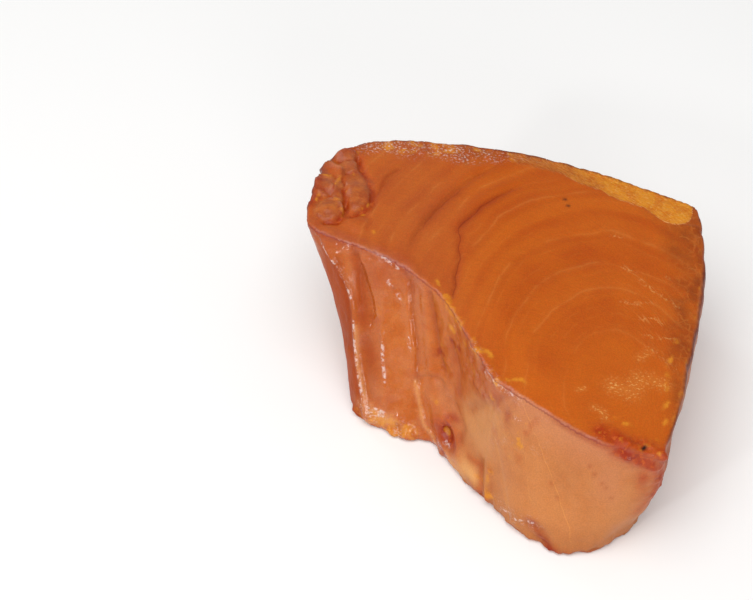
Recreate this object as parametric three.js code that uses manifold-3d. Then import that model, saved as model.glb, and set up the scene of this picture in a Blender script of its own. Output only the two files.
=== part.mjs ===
// A chunk of smoked marlin: one piece of firm fish, cut square from the loin and smoked.
// The top is a clean knife cut across the muscle. The front is an outer face with three soft folds
// at the left and a second knife cut at the right. It is a single solid and rests on its flat underside.
// Millimetres: +X is right, +Y is away from the front, +Z is up, and z = 0 is what it rests on.

import * as THREE from 'three';
import { mergeVertices } from 'three/addons/utils/BufferGeometryUtils.js';
import Module from 'manifold-3d';

// Driving dimensions

const MIDDLE_HEIGHT = 62.9; // height of the cut top over the origin
const FALL_TO_RIGHT = 0.12; // the top drops this much for each millimetre to the right
const RISE_TO_BACK = 0.05; // and rises this much for each millimetre to the back
const FOOT_ROUNDING = 1.8; // radius of the lower edge
const RAGGED_DEPTH = 1.2; // how far the torn lower edge wanders at the front
const RAGGED_HEIGHT = 10; // and how high up the side it still shows
const RAGGED_WAVES = [
  { share: 0.5, perStation: 3.1, start: 0 },
  { share: 0.3, perStation: 7.3, start: 1 },
  { share: 0.3, perStation: 12.9, start: 2 },
];
const COLUMNS_PER_STATION = 8;
const SIDE_ROWS = 14;
const ROUNDING_STEPS = 3;
const TURN_STEP = 0.05; // the outline's direction is taken over this part of a station either way

// The top and the underside close in rings about a middle point, and the inner rings have fewer points
const CAP_MIDDLE = [10, 18];
const CAP_RINGS = [0.93, 0.84, 0.72, 0.56, 0.38, 0.2];
const FULL_RINGS = 2;

// The outline, anticlockwise seen from above. Each station gives the rim of the top and the foot below
// it, how far the side bellies out at mid-height, how round the outline is there (0 is a sharp corner),
// and the radius of the rim.
const STATIONS = [
  { name: 'left tip', rim: [-82.3, 27.8], foot: [-64.5, 15.5], belly: -2.6, round: 0.55, rimRadius: 2.2 },
  { name: 'ridge foot', rim: [-68, 19.5], foot: [-62.5, -9.5], belly: 0, round: 0.8, rimRadius: 2.2 },
  { name: 'fold shoulder', rim: [-50.5, 13], foot: [-46, -21], belly: 0.5, round: 1, rimRadius: 2.5 },
  { name: 'fold edge', rim: [-33.5, -1], foot: [-32.5, -25.5], belly: -1, round: 1, rimRadius: 2.2 },
  { name: 'crease', rim: [-25, -13], foot: [-23, -37.5], belly: -3, round: 0.9, rimRadius: 2 },
  { name: 'cut start', rim: [-11, -43.5], foot: [-10.5, -54.5], belly: -1, round: 0.8, rimRadius: 1.8 },
  { name: 'cut middle', rim: [2.5, -54.5], foot: [1, -73], belly: 0.5, round: 1, rimRadius: 1.6 },
  { name: 'cut far', rim: [23, -69], foot: [16, -81], belly: 0.5, round: 1, rimRadius: 1.6 },
  { name: 'cut end', rim: [36, -73.5], foot: [31, -80.5], belly: 0.5, round: 0.9, rimRadius: 1.6 },
  { name: 'front corner', rim: [54, -75.5], foot: [46, -68.5], belly: 1, round: 0.35, rimRadius: 1.6 },
  { name: 'right side', rim: [67, -30], foot: [62, -34], belly: 2, round: 1, rimRadius: 2.5 },
  { name: 'right belly', rim: [78.8, 20], foot: [71, 18], belly: 2, round: 1, rimRadius: 3 },
  { name: 'back corner', rim: [79, 56.5], foot: [70, 52], belly: 1, round: 0.25, rimRadius: 2 },
  { name: 'back side', rim: [24, 77], foot: [22, 72], belly: 2, round: 1, rimRadius: 3 },
  { name: 'back left', rim: [-37.5, 82], foot: [-36, 74.5], belly: 2, round: 1, rimRadius: 3.5 },
  { name: 'lump corner', rim: [-67.3, 72], foot: [-58, 60], belly: 0, round: 0.7, rimRadius: 2.5 },
  { name: 'left side', rim: [-78.8, 50.5], foot: [-65.5, 36], belly: -2.5, round: 1, rimRadius: 2.5 },
];
const FRONT_STATIONS = 10; // stations on the front, with its folds and its torn lower edge

// Soft folds and creases of the front, each along a line of x and z. A height below 0 is a groove.
const FOLDS = [
  {
    name: 'left ridge',
    line: [[-80, 74], [-72, 66], [-66, 57], [-63, 46], [-62, 29], [-59, 8]],
    width: 3,
    height: 2.4,
  },
  { name: 'left groove', line: [[-66, 72], [-59, 57], [-55, 46]], width: 2.6, height: -1.2 },
  { name: 'middle ridge', line: [[-54, 69], [-51, 56], [-50, 36], [-51, 14]], width: 4, height: 1.6 },
  {
    name: 'main groove',
    line: [[-42, 69], [-38, 52], [-36, 32], [-36, 18], [-29, 3]],
    width: 2.4,
    height: -1.8,
  },
  { name: 'short groove', line: [[-33, 62], [-31, 46], [-29, 30]], width: 2.2, height: -1.3 },
  { name: 'arched crease', line: [[-36, 25], [-32, 28], [-27, 30], [-25, 20]], width: 1.8, height: -0.8 },
  { name: 'lobe over the pit', line: [[-32, 20], [-30, 12]], width: 4.5, height: 1.6 },
  { name: 'crease below the cut', line: [[-4, 58], [-10, 46], [-17, 28]], width: 2.4, height: -1.2 },
  { name: 'low lobe', line: [[-20, 10], [-16, 5]], width: 4.5, height: 1.8 },
  { name: 'torn fibre', line: [[-10, 19], [-9, 2]], width: 1.6, height: 1.2 },
  { name: 'wet ragged strip', line: [[-4, 7], [6, 10]], width: 2.4, height: 1.2 },
];
const FOLD_FADE = 6; // a fold runs out over this height below the rim and above the foot

// Rounded lumps of gristle fused in the left corner of the top
const LUMPS = [
  { name: 'rim ridge', at: [-65.8, 66.4], size: [10, 6.5, 6], turn: 0.29 },
  { name: 'upper lump', at: [-64.7, 60.5], size: [9.5, 8, 7], turn: 0.34 },
  { name: 'curved band', at: [-70.5, 57], size: [7, 8, 6], turn: -0.6 },
  { name: 'red lump', at: [-74.1, 48.6], size: [7, 11.5, 7], turn: 0.13 },
  { name: 'dark lump', at: [-68.8, 44.7], size: [6.5, 14, 6], turn: 0.08 },
  { name: 'large lump', at: [-60.6, 46.7], size: [13, 24.5, 8], turn: -0.05 },
  { name: 'round lump', at: [-72.3, 34.7], size: [12.5, 14.5, 8.5], turn: -0.6 },
  { name: 'flat lump', at: [-62.5, 29.5], size: [13.5, 13, 6], turn: -0.47 },
];
const LUMP_SINK = 0.33; // share of a lump's height by which its middle lies below the cut
const LUMP_SEGMENTS = [14, 8];

// Grooves where flakes of muscle part. They follow rings about a point near the front right corner.
const RING_CENTRE = [39, -51];
const RING_STRETCH = 1.48; // the rings are longer to the back than to the left
const FLAKE_GROOVES = [
  { radius: 81.5, from: 42, to: 66, tail: [[-20.6, 14.5], [-21.6, 7.9], [-23, 0.3]] },
  { radius: 92.5, from: 31, to: 60, tail: [] },
  { radius: 113.5, from: 33, to: 43, tail: [] },
];
const GROOVE_RADIUS = 1.1;
const GROOVE_DEPTH = 0.6;
const GROOVE_STEPS = 16;
const GROOVE_SIDES = 8;
const TAIL_STEPS = 4;

// The wet pit low in the crease
const PIT = { at: [-25.5, -30, 11], radius: [2.6, 4.5, 3], segments: [12, 8] };

const FLESH_COLOUR = 0xc4662c;
const FLESH_ROUGHNESS = 0.36;

// Shapes

const topHeight = (x, y) => MIDDLE_HEIGHT - FALL_TO_RIGHT * x + RISE_TO_BACK * y;

// A smooth closed curve through one value per station, sharper where round is small
function alongStations(place, read) {
  const count = STATIONS.length;
  const station = (i) => STATIONS[(i + count) % count];
  const i = Math.floor(place);
  const f = place - i;
  const slope = (k) => 0.5 * station(k).round * (read(station(k + 1)) - read(station(k - 1)));
  const ease = 3 * f ** 2 - 2 * f ** 3;
  return (1 - ease) * read(station(i)) + ease * read(station(i + 1))
    + (f ** 3 - 2 * f ** 2 + f) * slope(i) + (f ** 3 - f ** 2) * slope(i + 1);
}

function pairAlong(place, key) {
  return new THREE.Vector2(
    alongStations(place, (station) => station[key][0]),
    alongStations(place, (station) => station[key][1]),
  );
}

// An uneven wave along the torn edge, between about -1 and 1
function raggedEdge(place) {
  const heights = RAGGED_WAVES.map((wave) => wave.share * Math.sin(wave.perStation * place + wave.start));
  return heights.reduce((sum, height) => sum + height);
}

// Distance of a point from a line of points in the same plane
function distanceToLine(x, z, line) {
  let nearest = Infinity;
  for (let i = 1; i < line.length; i++) {
    const start = new THREE.Vector2(...line[i - 1]);
    const step = new THREE.Vector2(...line[i]).sub(start);
    const toPoint = new THREE.Vector2(x, z).sub(start);
    const share = THREE.MathUtils.clamp(toPoint.dot(step) / step.lengthSq(), 0, 1);
    nearest = Math.min(nearest, toPoint.addScaledVector(step, -share).length());
  }
  return nearest;
}

function foldHeight(x, z, rimHeight) {
  const { smoothstep } = THREE.MathUtils;
  const fade = smoothstep(rimHeight - z, 0, FOLD_FADE) * smoothstep(z, 0, FOLD_FADE);
  return FOLDS.reduce((sum, fold) => {
    const distance = distanceToLine(x, z, fold.line) / fold.width;
    return sum + fade * fold.height * Math.exp(-distance * distance);
  }, 0);
}

// One column of points up the side, from the underside over the rounded foot and rim to the top
function sideColumn(place) {
  const rim = pairAlong(place, 'rim');
  const foot = pairAlong(place, 'foot');
  const middle = (at) => pairAlong(at, 'rim').add(pairAlong(at, 'foot'));
  const along = middle(place + TURN_STEP).sub(middle(place - TURN_STEP)).normalize();
  const outward = new THREE.Vector2(along.y, -along.x);
  const belly = alongStations(place, (station) => station.belly);
  const rimRadius = alongStations(place, (station) => station.rimRadius);
  const height = topHeight(rim.x, rim.y);
  const isFront = place < FRONT_STATIONS - 1;
  const ragged = isFront ? RAGGED_DEPTH * raggedEdge(place) : 0;

  const column = [];
  const addPoint = (z, inset, isTop = false) => {
    const share = z / height;
    const fold = isFront ? foldHeight(rim.x * share + foot.x * (1 - share), z, height) : 0;
    const torn = ragged * (1 - THREE.MathUtils.smoothstep(z, 0, RAGGED_HEIGHT));
    const bulge = 4 * belly * share * (1 - share) + fold + torn - inset;
    const flat = foot.clone().lerp(rim, share).addScaledVector(outward, bulge);
    column.push(new THREE.Vector3(flat.x, flat.y, isTop ? topHeight(flat.x, flat.y) : z));
  };
  for (let step = 0; step < ROUNDING_STEPS; step++) {
    const angle = (step / ROUNDING_STEPS) * (Math.PI / 2);
    addPoint(FOOT_ROUNDING * (1 - Math.cos(angle)), FOOT_ROUNDING * (1 - Math.sin(angle)));
  }
  for (let row = 0; row <= SIDE_ROWS; row++) {
    addPoint(THREE.MathUtils.lerp(FOOT_ROUNDING, height - rimRadius, row / SIDE_ROWS), 0);
  }
  for (let step = 1; step <= ROUNDING_STEPS; step++) {
    const angle = (step / ROUNDING_STEPS) * (Math.PI / 2);
    const drop = rimRadius * (1 - Math.sin(angle));
    addPoint(height - drop, rimRadius * (1 - Math.cos(angle)), step === ROUNDING_STEPS);
  }
  return column;
}

// Rings that shrink towards the middle and halve their points on the way, to close the top or underside
function capRings(edge, middle, heightOf) {
  const rings = [edge];
  let columns = edge;
  CAP_RINGS.forEach((share, index) => {
    if (index >= FULL_RINGS && columns.length % 2 === 0) {
      columns = columns.filter((point, k) => k % 2 === 0);
    }
    rings.push(columns.map((point) => {
      const flat = middle.clone().lerp(point, share);
      return new THREE.Vector3(flat.x, flat.y, heightOf(flat.x, flat.y));
    }));
  });
  return rings;
}

// Triangles between two rings that have as many points, or where the inner one has half of them
function stitch(outer, inner, addTriangle) {
  const each = outer.length / inner.length;
  inner.forEach((point, k) => {
    const next = inner[(k + 1) % inner.length];
    for (let j = 0; j < each; j++) {
      const from = outer[k * each + j];
      const to = outer[(k * each + j + 1) % outer.length];
      addTriangle(from, to, j < each / 2 ? point : next);
    }
    addTriangle(point, outer[(k * each + Math.ceil(each / 2)) % outer.length], next);
  });
}

function chunkGeometry() {
  const columns = [];
  for (let k = 0; k < STATIONS.length * COLUMNS_PER_STATION; k++) {
    columns.push(sideColumn(k / COLUMNS_PER_STATION));
  }
  const rows = columns[0].map((_, row) => columns.map((column) => column[row]));

  const corners = [];
  const addTriangle = (a, b, c) => corners.push(a, b, c);
  for (let row = 1; row < rows.length; row++) {
    stitch(rows[row - 1], rows[row], addTriangle);
  }
  const closeOff = (edge, heightOf, add) => {
    const middle = new THREE.Vector3(...CAP_MIDDLE, heightOf(...CAP_MIDDLE));
    const rings = capRings(edge, middle, heightOf);
    for (let k = 1; k < rings.length; k++) {
      stitch(rings[k - 1], rings[k], add);
    }
    rings.at(-1).forEach((point, k, ring) => add(point, ring[(k + 1) % ring.length], middle));
  };
  closeOff(rows.at(-1), topHeight, addTriangle);
  closeOff(rows[0], () => 0, (a, b, c) => addTriangle(a, c, b));
  return new THREE.BufferGeometry().setFromPoints(corners);
}

function lumpGeometry({ at, size, turn }) {
  const [width, depth, height] = size;
  const lump = new THREE.SphereGeometry(0.5, ...LUMP_SEGMENTS);
  lump.rotateX(Math.PI / 2);
  lump.scale(width, depth, height);
  lump.rotateZ(turn);
  lump.translate(at[0], at[1], topHeight(...at) - LUMP_SINK * height);
  return lump;
}

function pitGeometry() {
  const pit = new THREE.SphereGeometry(1, ...PIT.segments);
  pit.scale(...PIT.radius);
  return pit.translate(...PIT.at);
}

// A round cutter that runs along a ring of the muscle, sunk in the top by the groove's depth
function grooveGeometry({ radius, from, to, tail }) {
  const points = [];
  for (let step = 0; step <= GROOVE_STEPS; step++) {
    const angle = THREE.MathUtils.degToRad(THREE.MathUtils.lerp(to, from, step / GROOVE_STEPS));
    points.push([
      RING_CENTRE[0] - radius * Math.cos(angle),
      RING_CENTRE[1] + radius * RING_STRETCH * Math.sin(angle),
    ]);
  }
  const lift = GROOVE_RADIUS - GROOVE_DEPTH;
  const path = new THREE.CatmullRomCurve3(
    [...points, ...tail].map(([x, y]) => new THREE.Vector3(x, y, topHeight(x, y) + lift)),
  );
  const section = new THREE.Shape();
  for (let side = 0; side < GROOVE_SIDES; side++) {
    const angle = (side / GROOVE_SIDES) * 2 * Math.PI;
    const move = side === 0 ? 'moveTo' : 'lineTo';
    section[move](GROOVE_RADIUS * Math.cos(angle), GROOVE_RADIUS * Math.sin(angle));
  }
  const steps = GROOVE_STEPS + TAIL_STEPS * tail.length;
  return new THREE.ExtrudeGeometry(section, { extrudePath: path, steps });
}

// Joining and cutting

const wasm = await Module();
wasm.setup();

function toSolid(geometry) {
  geometry.deleteAttribute('normal');
  geometry.deleteAttribute('uv');
  const merged = mergeVertices(geometry);
  return new wasm.Manifold(new wasm.Mesh({
    numProp: 3,
    vertProperties: new Float32Array(merged.attributes.position.array),
    triVerts: new Uint32Array(merged.index.array),
  }));
}

function toGeometry(solid) {
  const mesh = solid.getMesh();
  const geometry = new THREE.BufferGeometry();
  geometry.setAttribute('position', new THREE.BufferAttribute(mesh.vertProperties, 3));
  geometry.setIndex(new THREE.BufferAttribute(mesh.triVerts, 1));
  geometry.computeVertexNormals();
  return geometry;
}

let chunk = toSolid(chunkGeometry());
for (const groove of FLAKE_GROOVES) {
  chunk = chunk.subtract(toSolid(grooveGeometry(groove)));
}
for (const lump of LUMPS) {
  chunk = chunk.add(toSolid(lumpGeometry(lump)));
}
chunk = chunk.subtract(toSolid(pitGeometry()));

const flesh = new THREE.MeshStandardMaterial({
  color: FLESH_COLOUR,
  roughness: FLESH_ROUGHNESS,
  metalness: 0,
});
const marlin = new THREE.Mesh(toGeometry(chunk), flesh);
marlin.name = 'marlin_piece';

const part = new THREE.Group();
part.add(marlin);

export default part;
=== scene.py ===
import functools
import itertools
import math

import bpy
import numpy as np
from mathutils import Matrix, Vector, kdtree


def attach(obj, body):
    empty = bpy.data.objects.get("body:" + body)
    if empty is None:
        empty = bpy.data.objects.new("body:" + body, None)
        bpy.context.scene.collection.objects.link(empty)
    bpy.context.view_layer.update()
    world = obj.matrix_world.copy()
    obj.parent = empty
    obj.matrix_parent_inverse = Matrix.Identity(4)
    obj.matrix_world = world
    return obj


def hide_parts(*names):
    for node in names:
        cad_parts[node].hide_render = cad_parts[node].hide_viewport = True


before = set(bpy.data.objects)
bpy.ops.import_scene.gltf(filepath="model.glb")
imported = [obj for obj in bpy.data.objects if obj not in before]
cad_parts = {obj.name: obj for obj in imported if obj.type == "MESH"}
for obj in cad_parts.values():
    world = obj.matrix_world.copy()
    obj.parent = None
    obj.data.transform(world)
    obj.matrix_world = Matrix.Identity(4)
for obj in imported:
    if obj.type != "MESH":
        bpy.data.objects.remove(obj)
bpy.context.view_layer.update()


# The camera looks down at 45 degrees on the folded front, with a long lens. The piece sits right of the
# middle of the picture, as in the photograph, so the camera stands a little left of it.
CAMERA_PLACE = (-0.0536, -0.4938, 0.5510)
CAMERA_DOWN = math.radians(45)
CAMERA_LENS = 85

bpy.ops.object.camera_add(location=CAMERA_PLACE, rotation=(math.pi / 2 - CAMERA_DOWN, 0, 0))
camera = bpy.context.object
camera.data.lens = CAMERA_LENS
bpy.context.scene.camera = camera
bpy.context.scene.view_settings.view_transform = "Standard"


# The studio: a plain white table under a large soft box that hangs overhead and a little in front, so that
# the cut top mirrors nothing bright. A low soft box behind on the left gives the top its faint sheen, and
# smaller ones in front draw the wet folds.
FLOOR_WIDTH = 8.0
FLOOR_COLOUR = (0.93, 0.93, 0.925, 1)
FLOOR_ROUGHNESS = 0.9
SKY_COLOUR = (1.0, 0.99, 0.98, 1)
SKY_STRENGTH = 0.42

bpy.ops.mesh.primitive_plane_add(size=FLOOR_WIDTH)
floor = bpy.context.object
floor.name = "floor"
floor_paint = bpy.data.materials.new("white_table")
floor_paint.use_nodes = True
floor_surface = floor_paint.node_tree.nodes["Principled BSDF"]
floor_surface.inputs["Base Color"].default_value = FLOOR_COLOUR
floor_surface.inputs["Roughness"].default_value = FLOOR_ROUGHNESS
floor.data.materials.append(floor_paint)

studio = bpy.data.worlds.new("studio")
studio.use_nodes = True
studio.node_tree.nodes["Background"].inputs["Color"].default_value = SKY_COLOUR
studio.node_tree.nodes["Background"].inputs["Strength"].default_value = SKY_STRENGTH
bpy.context.scene.world = studio

LIGHTS_AIM = Vector((0, 0, 0.03))
SOFT_BOXES = (
    # name, place, width, power
    ("overhead", (-0.25, -0.5, 1.5), 1.6, 20),
    ("behind_left", (-1.0, 1.3, 0.9), 0.5, 2.5),
    ("front_left", (-1.0, -1.1, 0.75), 0.15, 3.2),
    ("front", (0.3, -1.5, 0.5), 0.5, 4),
)
for name, place, width, power in SOFT_BOXES:
    bpy.ops.object.light_add(type="AREA", location=place)
    light = bpy.context.object
    light.name = name
    light.data.size = width
    light.data.energy = power
    aim = LIGHTS_AIM - Vector(place)
    light.rotation_euler = aim.to_track_quat("-Z", "Y").to_euler()


# The piece of smoked marlin: one solid chunk of firm flesh, cut square and smoked until its faces are dry
# and its folded outer side stays moist. It starts as a copy of the plain solid, which has the true form.
# The copy is rounded and divided finely, and then its folds, flakes and torn edges are worked into it.
MERGE_GAP = 0.00002
FACE_SIZE = 0.00092
SMOOTHING_SHARE = 0.5
SMOOTHING_ROUNDS = 8
MILLIMETRES = 1000  # in a metre

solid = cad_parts["marlin_piece"]
bpy.ops.object.select_all(action="DESELECT")
fish_mesh = solid.data.copy()
fish_mesh.materials.clear()
fish = bpy.data.objects.new("smoked_marlin", fish_mesh)
bpy.context.collection.objects.link(fish)
fish.select_set(True)
bpy.context.view_layer.objects.active = fish

bpy.ops.object.mode_set(mode="EDIT")
bpy.ops.mesh.select_all(action="SELECT")
bpy.ops.mesh.remove_doubles(threshold=MERGE_GAP)
bpy.ops.mesh.tris_convert_to_quads()
bpy.ops.object.mode_set(mode="OBJECT")

rounding = fish.modifiers.new("rounding", "SUBSURF")
rounding.levels = 1
rounding.render_levels = 1
bpy.ops.object.modifier_apply(modifier="rounding")
even_faces = fish.modifiers.new("even_faces", "REMESH")
even_faces.mode = "VOXEL"
even_faces.voxel_size = FACE_SIZE
even_faces.use_smooth_shade = True
bpy.ops.object.modifier_apply(modifier="even_faces")
softening = fish.modifiers.new("softening", "SMOOTH")
softening.factor = SMOOTHING_SHARE
softening.iterations = SMOOTHING_ROUNDS
bpy.ops.object.modifier_apply(modifier="softening")


def read_points(values, key):
    """A mesh's points or normals as rows of three numbers."""
    flat = np.empty(len(values) * 3)
    values.foreach_get(key, flat)
    return flat.reshape(-1, 3)


def rise(low, high, value):
    """0 below low, 1 above high, and a smooth rise between. Low may be the larger one."""
    share = np.clip((value - low) / (high - low), 0, 1)
    return share * share * (3 - 2 * share)


HEIGHT_COUNT = 4096
CELL_STEPS = np.array([73856093, 19349663, 83492791])  # large primes, so that near cells differ


def soft_noise(places, size, seed):
    """Smooth noise between -1 and 1, with lumps about as large as size."""
    heights = np.random.default_rng(seed).uniform(-1, 1, HEIGHT_COUNT)
    grid = places / size
    cell = np.floor(grid).astype(np.int64)
    share = grid - cell
    share = share * share * (3 - 2 * share)
    total = np.zeros(len(places))
    for corner in itertools.product((0, 1), repeat=3):
        weight = np.prod(np.where(corner, share, 1 - share), axis=1)
        total += weight * heights[(cell + corner) @ CELL_STEPS % HEIGHT_COUNT]
    return total


NOISE_LAYERS = 3
LAYER_SUM = 1.5


def rough_noise(places, size, seed):
    """Noise with finer and finer lumps on it, between about -1 and 1."""
    layers = (soft_noise(places, size / 2**k, seed + k) / 2**k for k in range(NOISE_LAYERS))
    return sum(layers) / LAYER_SUM


FAR = 1e9  # farther than any place on the piece


def line_distance(across, up, line):
    """How far each place is from a line of points in the same plane."""
    places = np.column_stack([across, up])
    nearest = np.full(len(places), FAR)
    for start, end in zip(np.array(line[:-1], float), np.array(line[1:], float)):
        step = end - start
        share = np.clip((places - start) @ step / (step @ step), 0, 1)
        nearest = np.minimum(nearest, np.linalg.norm(places - start - share[:, None] * step, axis=1))
    return nearest


FADING_GAP = 3  # millimetres by which a line that has faded out is farther away


def signed_distance(across, up, line, reach=1):
    """Distance from a line, below nothing to its left. It grows where reach falls, and the line fades."""
    distance = line_distance(across, up, line)
    beside = np.zeros(len(across))
    nearest = np.full(len(across), FAR)
    for start, end in zip(np.array(line[:-1], float), np.array(line[1:], float)):
        gap = np.hypot(across - (start[0] + end[0]) / 2, up - (start[1] + end[1]) / 2)
        turn = (end[0] - start[0]) * (up - start[1]) - (end[1] - start[1]) * (across - start[0])
        beside = np.where(gap < nearest, np.sign(turn), beside)
        nearest = np.minimum(nearest, gap)
    return -beside * (distance + FADING_GAP * (1 - reach))


def fade(distance, width):
    """1 at no distance, and fading out to nothing past the width."""
    return np.exp(-((distance / width) ** 2))


def stroke(across, up, line, width):
    """1 along a line of points and fading out to nothing beside it. A single point gives a round dab."""
    if len(line) == 1:
        return fade(np.hypot(across - line[0][0], up - line[0][1]), width)
    return fade(line_distance(across, up, line), width)


points = read_points(fish.data.vertices, "co") * MILLIMETRES
normals = read_points(fish.data.vertices, "normal")
x, y, z = points.T


def waves(size, seed):
    """Soft noise over the piece."""
    return soft_noise(points, size, seed)


def mottles(size, seed, stretch=(1, 1, 1)):
    """Rough noise over the piece. A direction with a small stretch has long marks along it."""
    return rough_noise(points * stretch, size, seed)


# Where each part of the surface is: the cut top, the underside, and round the sides the folded outer side,
# the pale knife cut beside it, and the right, back and left sides that the front doesn't show
TOP_MIDDLE_HEIGHT = 62.9
TOP_FALL_TO_RIGHT = 0.12
TOP_RISE_TO_BACK = 0.05
above_cut = z - (TOP_MIDDLE_HEIGHT - TOP_FALL_TO_RIGHT * x + TOP_RISE_TO_BACK * y)
top = rise(-1.1, -0.4, above_cut)
under = rise(1.2, 0.3, z)
side = 1 - np.maximum(top, under)

FRONT_LIMIT = ((-84, 27), (-40, 25), (0, 0), (57, -72))
front_reach = np.interp(x, *zip(*FRONT_LIMIT)) - y
corner_softness = np.interp(x, (-40, 0), (7, 1.5))
front = side * rise(-1, 1, front_reach / corner_softness)
CUT_START = ((0, -23), (5, -22), (28, -21), (38, -18), (46, -12), (57, -4))
past_cut_start = x - np.interp(z, *zip(*CUT_START)) + 1.5 * waves(6, 5)
pale_cut = front * rise(-2.5, 2.5, past_cut_start)
folded = front - pale_cut
hidden_side = side - front

# Distance in from the rim over the top, and below nothing down the sides
RIM_DEPTH = 1.6  # the side starts this far below the cut
LOWEST_RIM = 40
is_side = above_cut < -RIM_DEPTH
rim_tree = kdtree.KDTree(int(is_side.sum()))
for index in np.flatnonzero(is_side):
    rim_tree.insert(points[index], index)
rim_tree.balance()
rim_distance = above_cut + RIM_DEPTH
for index in np.flatnonzero(~is_side & (z > LOWEST_RIM)):
    rim_distance[index] = rim_tree.find(points[index])[2]

# Rings of muscle about a point near the front right corner, longer to the back than to the left
RING_CENTRE = (39, -51)
RING_STRETCH = 1.48
ring_radius = np.hypot(x - RING_CENTRE[0], (y - RING_CENTRE[1]) / RING_STRETCH)
ring_angle = np.degrees(np.arctan2((y - RING_CENTRE[1]) / RING_STRETCH, RING_CENTRE[0] - x))

# The knife left the rim crisp, so the rounding that the smoothing made there is filled out again
SMOOTHED_RIM = 2.4
top_direction = np.array([TOP_FALL_TO_RIGHT, -TOP_RISE_TO_BACK, 1])
facing_up = np.clip(normals @ (top_direction / np.linalg.norm(top_direction)), 0, 1)
facing_out = np.sqrt(1 - facing_up**2)
corner_gap = SMOOTHED_RIM * (1 / np.maximum(facing_up, facing_out) - 1)
at_rim = rise(-5, -3.5, above_cut) * rise(0.08, 0.3, facing_up) * rise(16, 6, rim_distance)

# What is worked into the surface: relief, in millimetres, and stains and painted light from 0 to 1 that the
# material reads
relief = 0.4 * waves(24, 1) + 0.25 * mottles(9, 2) * side
crisp_rim = at_rim * (1 - 0.6 * hidden_side) * (0.9 + 0.25 * waves(9, 3))
crisp_rim *= 1 - 0.8 * rise(24, 32, x) * rise(-60, -66, y)
relief += crisp_rim * corner_gap
stains_and_light = {}


def add_stain_or_light(name, amount):
    """Adds a mark to a stain or to painted light. Where marks meet, the strongest shows."""
    stains_and_light[name] = np.maximum(stains_and_light.get(name, 0), np.clip(amount, 0, 1))


def on_front(line, width):
    """A stroke on the folded side and the knife cut beside it, along points of x and z."""
    return front * stroke(x, z, line, width)


def on_top(line, width):
    """A stroke on the cut top, along points of x and y."""
    return top * stroke(x, y, line, width)


# Folds and creases of the front, the creases darkened with painted shade
BESIDE_CUT = ((-5, 58), (-7, 53), (-10, 47), (-14, 38), (-17, 29))
ABOVE_PIT = ((-38, 24), (-36, 15), (-34, 7), (-29, 3))
CREASES = (
    # line, width, height
    (
        ((-81, 75), (-76, 71), (-72, 65), (-69, 61), (-66, 57), (-64, 53), (-63, 46), (-62, 29), (-58, 6)),
        1.0,
        1.1,
    ),
    (((-64, 71), (-60, 64), (-58, 57), (-56, 52), (-55, 48), (-56, 42)), 1.0, -0.5),
    (((-61, 69), (-57.5, 61), (-55, 53), (-53.5, 47)), 0.9, 0.5),
    (((-69, 62), (-67, 57), (-65, 48), (-65, 30)), 2.4, -0.8),
    (((-59, 60), (-58, 50), (-58, 30), (-56, 14)), 3.0, -0.6),
    (((-60, 63), (-60, 57), (-59, 50)), 0.8, -0.5),
    (((-51, 40), (-51, 32), (-50, 20), (-51, 12)), 0.9, 0.6),
    (((-44, 70), (-40, 61), (-39, 50), (-37, 37), (-37, 24)), 0.9, -0.6),
    (((-42, 64), (-41, 50), (-39, 37), (-39, 27)), 1.4, 0.7),
    (((-35, 62), (-34, 50), (-33, 37), (-32, 31)), 2.0, 0.6),
    (((-33, 63), (-31, 52), (-29, 41), (-27, 34)), 0.9, -0.7),
    (((-29, 62), (-27, 50), (-25, 38)), 1.8, 0.6),
    (((-37, 24), (-34, 27), (-30, 29), (-27, 28.5)), 0.9, -0.35),
    (((-27, 27), (-25.5, 23), (-25, 18)), 1.6, -0.3),
    (((-37, 27), (-33, 30), (-28, 31.5), (-25, 28)), 1.3, 0.5),
    (ABOVE_PIT, 0.8, 0.6),
    (BESIDE_CUT, 1.3, -0.4),
    (((-12, 17), (-14, 10), (-13, 3)), 0.9, -0.4),
    (((-10, 18), (-11, 10), (-10, 2)), 1.0, 0.8),
    (((-24, 50), (-21, 40), (-21, 30)), 1.2, -0.5),
    (((-22, 24), (-19, 20), (-20, 14)), 1.0, -0.5),
)
for line, width, height in CREASES:
    mark = on_front(line, width)
    relief += height * mark
    add_stain_or_light("crease_shade", -height * mark)

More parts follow.
